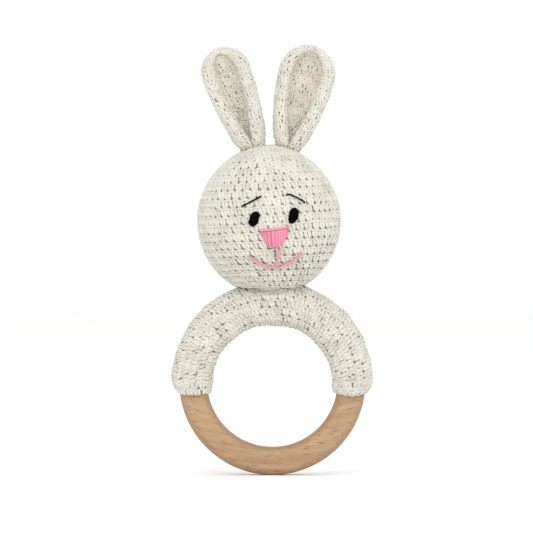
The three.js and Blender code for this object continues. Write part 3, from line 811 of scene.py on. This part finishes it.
def neck_skin():
    """The drawn-in closing rounds of the head, from their oval on the sleeve up into the head."""
    turn = full_turn(NECK_COLUMNS)
    points = np.empty((NECK_ROWS, NECK_COLUMNS, 3))
    for row, share in enumerate(np.linspace(0, 1, NECK_ROWS)):
        x = HEAD_X + (NECK_HALF_WIDTH + NECK_WIDENING * share) * np.cos(turn)
        y = (NECK_HALF_DEPTH + NECK_DEEPENING * share) * np.sin(turn)
        low = sleeve_top(x, y) - NECK_SINK
        z = low * (1 - share) + (UNDERSIDE_Z + NECK_RISE) * share
        points[row] = np.column_stack([x, y, z])
    return Skin(points)


def build_neck():
    skin = neck_skin()
    shape = Shape()
    crochet(shape, skin, np.random.default_rng(29), **NECK_CROCHET)
    # Painted shade: the base is toned and tinted darker, which shades the holes.
    shape.add(*skin.base(), tone=BASE_SHADE_TONE, painted_shade=1.0)
    attach(shape.build("neck_crochet", COTTON), "neck", "cotton_crochet", "neck_gather")


def head_skin():
    """The head from its neck opening, out under it and up to just short of its pole."""
    angle = np.linspace(-math.pi / 2, math.pi / 2, OUTLINE_STEPS)
    power = 2 / np.where(angle > 0, HEAD_TOP_POWER, HEAD_BOTTOM_POWER)
    reach = np.where(angle > 0, HEAD_TOP, HEAD_BOTTOM) - YARN_SINK
    z = HEAD_Z + reach * np.sign(angle) * np.abs(np.sin(angle)) ** power
    radius = (HEAD_RADIUS - YARN_SINK) * np.abs(np.cos(angle)) ** power
    keep = (z > UNDERSIDE_Z + YARN_SINK) & (radius > POLE_RADIUS)
    opening = [(radius_there, UNDERSIDE_Z + rise) for radius_there, rise in NECK_OPENING]
    outline = even_steps(np.vstack([opening, np.column_stack([radius[keep], z[keep]])]), HEAD_ROWS)
    turn = full_turn(HEAD_COLUMNS)
    points = np.empty((HEAD_ROWS, HEAD_COLUMNS, 3))
    points[..., 0] = HEAD_X + outline[:, :1] * np.cos(turn)
    points[..., 1] = outline[:, :1] * np.sin(turn)
    points[..., 2] = outline[:, 1:]
    return Skin(points)


def build_head():
    """The head in three pieces. The lowest holds the base of them all."""
    skin = head_skin()
    top = skin.height[-1]

    def tilted(turn, height):
        angle = 2 * np.pi * turn
        share = np.sin(np.pi * np.clip(height / top, 0, 1))
        return HEAD_RADIUS * share * (HEAD_ROLL * np.cos(angle) + HEAD_NOD * np.sin(angle))

    def swirled(turn):
        return HEAD_SWIRL * np.cos(2 * np.pi * turn)

    total = round(top / HEAD_CROCHET["height"])
    pieces = {}
    for name, (start, end) in HEAD_PIECES.items():
        shape = Shape()
        crochet(shape, skin, np.random.default_rng(11), swirl=swirled, wander=tilted,
                rounds=range(round(total * start), round(total * end)), **HEAD_CROCHET)
        if name == "lower":
            # Painted shade: the base's tint is strongest in the lowest rounds and fades towards the top,
            # shading the holes.
            risen = np.append(np.repeat(np.linspace(0, 1, HEAD_ROWS), HEAD_COLUMNS), (0, 1))
            shape.add(*skin.base(), tone=HEAD_BASE_SHADE_TONE, painted_shade=1 - BASE_PAINTED_SHADE_DROP * risen**2)
        pieces[name] = shape.build(f"head_crochet_{name}", COTTON)
    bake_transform(pieces["lower"])
    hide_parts("head_cover")
    attach(pieces["middle"], "head", "cotton_crochet")
    attach(pieces["upper"], "head", "cotton_crochet")


# --- Ears ---

def ear_section(height, length, thickness, base, widest):
    """Outline of an ear at a height above its foot: a thick arc that is open at the front, as x across it
    and y to its back."""
    above = max(height, 0)
    wide = length - widest
    half = base + (widest - base) * math.sin(math.pi / 2 * min(1, above / wide))
    if height > wide:
        half = widest * math.sqrt(max(0, 1 - ((height - wide) / widest) ** 2))
    thick = min(thickness, half * EAR_TIP_THINNING) / 2
    middle = half - thick
    opened = min(1, above / (EAR_OPEN_AT * EAR_LENGTH))
    curl = math.radians(EAR_CURL_BASE + (EAR_CURL_WIDE - EAR_CURL_BASE) * opened)
    depth = EAR_CUP_DEPTH * math.sin(math.pi / 2 * min(1, max(0, (length - height) / EAR_CUP_FADE)))
    half_turn = math.pi
    stretches = [(0, -curl, 0, 0), (-curl, -curl, 0, half_turn), (-curl, curl, half_turn, half_turn),
                 (curl, curl, half_turn, 2 * half_turn), (curl, 0, 0, 0)]
    outline = []
    for start, end, turn_start, turn_end in stretches:
        angle = np.linspace(start, end, EAR_STRETCH_STEPS)
        turned = np.linspace(turn_start, turn_end, EAR_STRETCH_STEPS)
        wall = thick * (1 - EAR_BACK_THINNING * np.cos(angle / EAR_BACK_SPREAD) ** 4 * opened)
        normal = unit(np.column_stack([depth * np.sin(angle), middle * np.cos(angle)])) * wall[:, None]
        x = middle * np.sin(angle) + normal[:, 0] * np.cos(turned) - normal[:, 1] * np.sin(turned)
        y = depth * np.cos(angle) + normal[:, 0] * np.sin(turned) + normal[:, 1] * np.cos(turned)
        outline.append(np.column_stack([x, y - EAR_SHIFT_FORWARD]))
    foot_reach = EAR_FOOT_ROUNDING * max(0, EAR_FOOT - above) / EAR_FOOT
    foot_depth = math.sqrt(1 - foot_reach**2)
    return even_steps(np.vstack(outline), EAR_COLUMNS, closed=True) * (math.sqrt(foot_depth), foot_depth)


def ear_frame(ear):
    """An ear's foot on the head, and the directions across it and up it."""
    tilt = math.radians(ear["tilt"])
    foot = np.array([ear["x"], 0, ear["z"]])
    return foot, np.array([math.cos(tilt), 0, -math.sin(tilt)]), np.array([math.sin(tilt), 0, math.cos(tilt)])


def ear_skin(ear):
    """An ear's outside: a thick strip that curls forward into a cup, standing on its foot on the head."""
    foot, across, upward = ear_frame(ear)
    length = EAR_LENGTH - FINE_YARN_SINK
    thickness = EAR_THICKNESS - 2 * FINE_YARN_SINK
    base = EAR_BASE_HALF_WIDTH - FINE_YARN_SINK
    widest = ear["half_width"] - FINE_YARN_SINK
    wide = length - widest
    tip = wide + widest * np.sin(np.linspace(0, EAR_TIP_TURN, EAR_TIP_ROWS + 1)[1:])
    heights = np.concatenate([np.linspace(EAR_ROOT, wide, EAR_ROWS), tip])
    points = np.empty((len(heights), EAR_COLUMNS, 3))
    for row, height in enumerate(heights):
        section = ear_section(height, length, thickness, base, widest)
        points[row] = foot + section[:, :1] * across + section[:, 1:] * np.array([0, 1, 0]) + height * upward
    return Skin(points)


def build_ear(ear):
    rng = np.random.default_rng(ear["seed"])
    skin = ear_skin(ear)
    side = ear["side"]

    # Painted shade: stitches near the middle of the cup are tinted yellower and a little darker.
    def cup_painted_shade(turn):
        return CUP_PAINTED_SHADE * np.clip((CUP_TURN - np.abs(np.mod(turn, 1) - 0.5)) / CUP_EDGE, 0, 1)

    shape = Shape()
    crochet(shape, skin, rng, painted_shade=cup_painted_shade, **EAR_CROCHET)
    # Painted shade: the ear's base is tinted yellower and darker, which shades its holes.
    shape.add(*skin.base(), tone=BASE_SHADE_TONE, painted_shade=1.0)
    piece = shape.build(f"ear_{side}_crochet", EAR_COTTON)
    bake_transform(piece)
    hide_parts(f"ear_{side}")
    turns = (np.arange(EAR_SEAM_STITCHES) + 0.5) / EAR_SEAM_STITCHES
    levels = np.full(EAR_SEAM_STITCHES, 1.6 * MM)
    sewing_stitches(f"ear_{side}_seam_thread", skin, turns, levels, slant=0.03, rise=3.4 * MM, crest=0.9,
                    tone=rng.uniform(0.3, 0.7, EAR_SEAM_STITCHES), body="head", node=f"ear_{side}_seam")


# --- Embroidered face: threads drawn in X and Z, laid on the front of the head ---

def head_radius_at(z):
    """The head's radius at a height."""
    upper = z > HEAD_Z
    power = np.where(upper, HEAD_TOP_POWER, HEAD_BOTTOM_POWER)
    share = np.clip(np.abs(z - HEAD_Z) / np.where(upper, HEAD_TOP, HEAD_BOTTOM), 0, 1)
    return HEAD_RADIUS * (1 - share**power) ** (1 / power)


def on_face(line, lift):
    """Points and normals on the front of the head at the X and Z of a line, raised by lift."""
    x, z = line[..., 0], line[..., 1]
    radius = head_radius_at(z)
    y = -np.sqrt(np.maximum(radius**2 - (x - HEAD_X) ** 2, 1e-8))
    step = 0.2 * MM
    slope = (head_radius_at(z + step) - head_radius_at(z - step)) / (2 * step)
    normal = unit(np.stack([(x - HEAD_X) / radius, y / radius, -slope], -1))
    return np.stack([x, y, z], -1) + normal * np.asarray(lift)[..., None], normal


def stitch_threads(name, lines, radius, crest, material, slot, node):
    """Threads that come out of the head, run along their lines at a crest height and go back in."""
    rng = np.random.default_rng(len(name) * 5)
    shape = Shape()
    share = np.linspace(0, 1, THREAD_SAMPLES)
    arch = np.clip(np.minimum(share, 1 - share) / THREAD_DIVE_SHARE, 0, 1)
    for line, height in zip(lines, np.broadcast_to(crest, len(lines))):
        path = smooth_path(line, THREAD_SAMPLES)[None] * MM
        lift = (-THREAD_DIVE + (height + THREAD_DIVE) * np.sin(arch * math.pi / 2))[None] * MM
        centres, normals = on_face(path, lift)
        length = np.linalg.norm(np.diff(path[0], axis=0), axis=1).sum()
        lumps = 1 + LUMP_SIZE * np.sin(math.tau * (share * length / LUMP_LENGTH + rng.random()))
        thickness = 1 + THICKNESS_SPREAD * rng.normal()
        sweep(shape, centres, normals, radius * MM * lumps * thickness, tone=rng.uniform(-0.2, 1.1))
    attach(shape.build(name, material), "head", slot, node)


def eye_lines(eye):
    """Upright threads side by side that fill a leaning oval."""
    slant = math.tan(math.radians(eye["lean"]))
    lines = []
    for place in np.linspace(-1, 1, EYE_THREADS):
        x = eye["x"] + EYE_HALF_WIDTH * place
        half = eye["half_height"] * math.sqrt(1 - EYE_ROUNDING * place**2)
        lines.append([(x + slant * step, eye["z"] + step) for step in (-half, -half / 2, 0, half / 2, half)])
    return lines


def nose_lines(places):
    """Threads from the nose's top edge down to its rounded lower edge, for places from -1 to 1 across it."""
    lines = []
    for place in places:
        top = np.array([NOSE_TOP_X + NOSE_TOP_HALF_WIDTH * place, NOSE_TOP_Z + NOSE_TOP_SLANT * place])
        drop = max(NOSE_EDGE_HEIGHT, NOSE_HEIGHT * math.sqrt(1 - abs(place) ** NOSE_ROUNDING))
        foot = np.array([NOSE_FOOT_X + NOSE_FOOT_HALF_WIDTH * place, top[1] - drop])
        lines.append([top, (top + foot) / 2 + (NOSE_BULGE * place, 0), foot])
    return lines


def build_face():
    across_eye = np.linspace(EYE_EDGE, math.pi - EYE_EDGE, EYE_THREADS)
    eye_crest = EYE_CREST + EYE_CROWN * np.sin(across_eye)
    for eye in EYES:
        name = f"eye_{eye['side']}"
        stitch_threads(f"{name}_thread", eye_lines(eye), EYE_RADIUS, eye_crest, BLACK, "black_thread", name)
    for side, line in BROWS.items():
        name = f"brow_{side}"
        stitch_threads(f"{name}_thread", [line], BROW_RADIUS, BROW_CREST, BLACK, "black_thread", name)
    across_nose = np.linspace(-1, 1, NOSE_THREADS)
    nose_crest = NOSE_CREST + NOSE_CROWN * np.cos(across_nose * math.pi / 2)
    nose_crest += NOSE_STREAK * np.sin(NOSE_STREAK_RATE * across_nose)
    stitch_threads("nose_thread", nose_lines(across_nose), NOSE_RADIUS, nose_crest, PINK, "pink_thread",
                   "nose_satin")
    stitch_threads("nose_bar_thread", [NOSE_BAR], NOSE_BAR_RADIUS, NOSE_BAR_CREST, PINK, "pink_thread",
                   "nose_bar")
    for name, line in MOUTH.items():
        stitch_threads(f"{name}_thread", [line], MOUTH_RADIUS, MOUTH_CREST, PALE_PINK, "pale_pink_thread",
                       name)


def finish_inside():
    """Materials for the filling and the rattle, which keep their CAD shapes inside the head."""
    for material, names in ((FILLING, ("stuffing_lower", "stuffing_upper")),
                            (SHELL, ("rattle_shell_lower", "rattle_shell_upper")),
                            (BEADS, ("rattle_bead_1", "rattle_bead_2", "rattle_bead_3"))):
        for name in names:
            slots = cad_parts[name].data.materials
            slots.clear()
            slots.append(material)


# --- Stage ---

def build_lights(scene):
    world = bpy.data.worlds.new("studio")
    world.use_nodes = True
    background = world.node_tree.nodes["Background"]
    background.inputs["Color"].default_value = (1, 1, 1, 1)
    background.inputs["Strength"].default_value = 1.0
    scene.world = world
    for name, place, size, power in LIGHTS:
        data = bpy.data.lights.new(name, "AREA")
        data.shape = "DISK"
        data.size = size
        data.energy = power
        light = bpy.data.objects.new(name, data)
        light.location = place
        light.rotation_euler = (Vector(LIGHT_TARGET) - Vector(place)).to_track_quat("-Z", "Y").to_euler()
        scene.collection.objects.link(light)


def build_floor(scene):
    side = FLOOR_HALF_SIZE
    sheet = bpy.data.meshes.new("floor")
    corners = [(-side, -side, 0), (side, -side, 0), (side, side, 0), (-side, side, 0)]
    sheet.from_pydata(corners, [], [(0, 1, 2, 3)])
    sheet.materials.append(FLOOR)
    floor = bpy.data.objects.new("floor", sheet)
    scene.collection.objects.link(floor)


def build_camera(scene):
    data = bpy.data.cameras.new("camera")
    data.lens = CAMERA_LENS
    data.clip_start = 0.01
    camera = bpy.data.objects.new("camera", data)
    camera.location = (CAMERA_X, -VIEW_WIDTH * CAMERA_LENS / CAMERA_SENSOR, CAMERA_Z)
    camera.rotation_euler = (math.pi / 2, 0, 0)
    scene.collection.objects.link(camera)
    scene.camera = camera


def build_stage():
    scene = bpy.context.scene
    scene.view_settings.view_transform = "Standard"
    build_lights(scene)
    build_floor(scene)
    build_camera(scene)


build_stage()
build_ring()
build_sleeve()
build_neck()
build_head()
for ear in EARS:
    build_ear(ear)
build_face()
finish_inside()
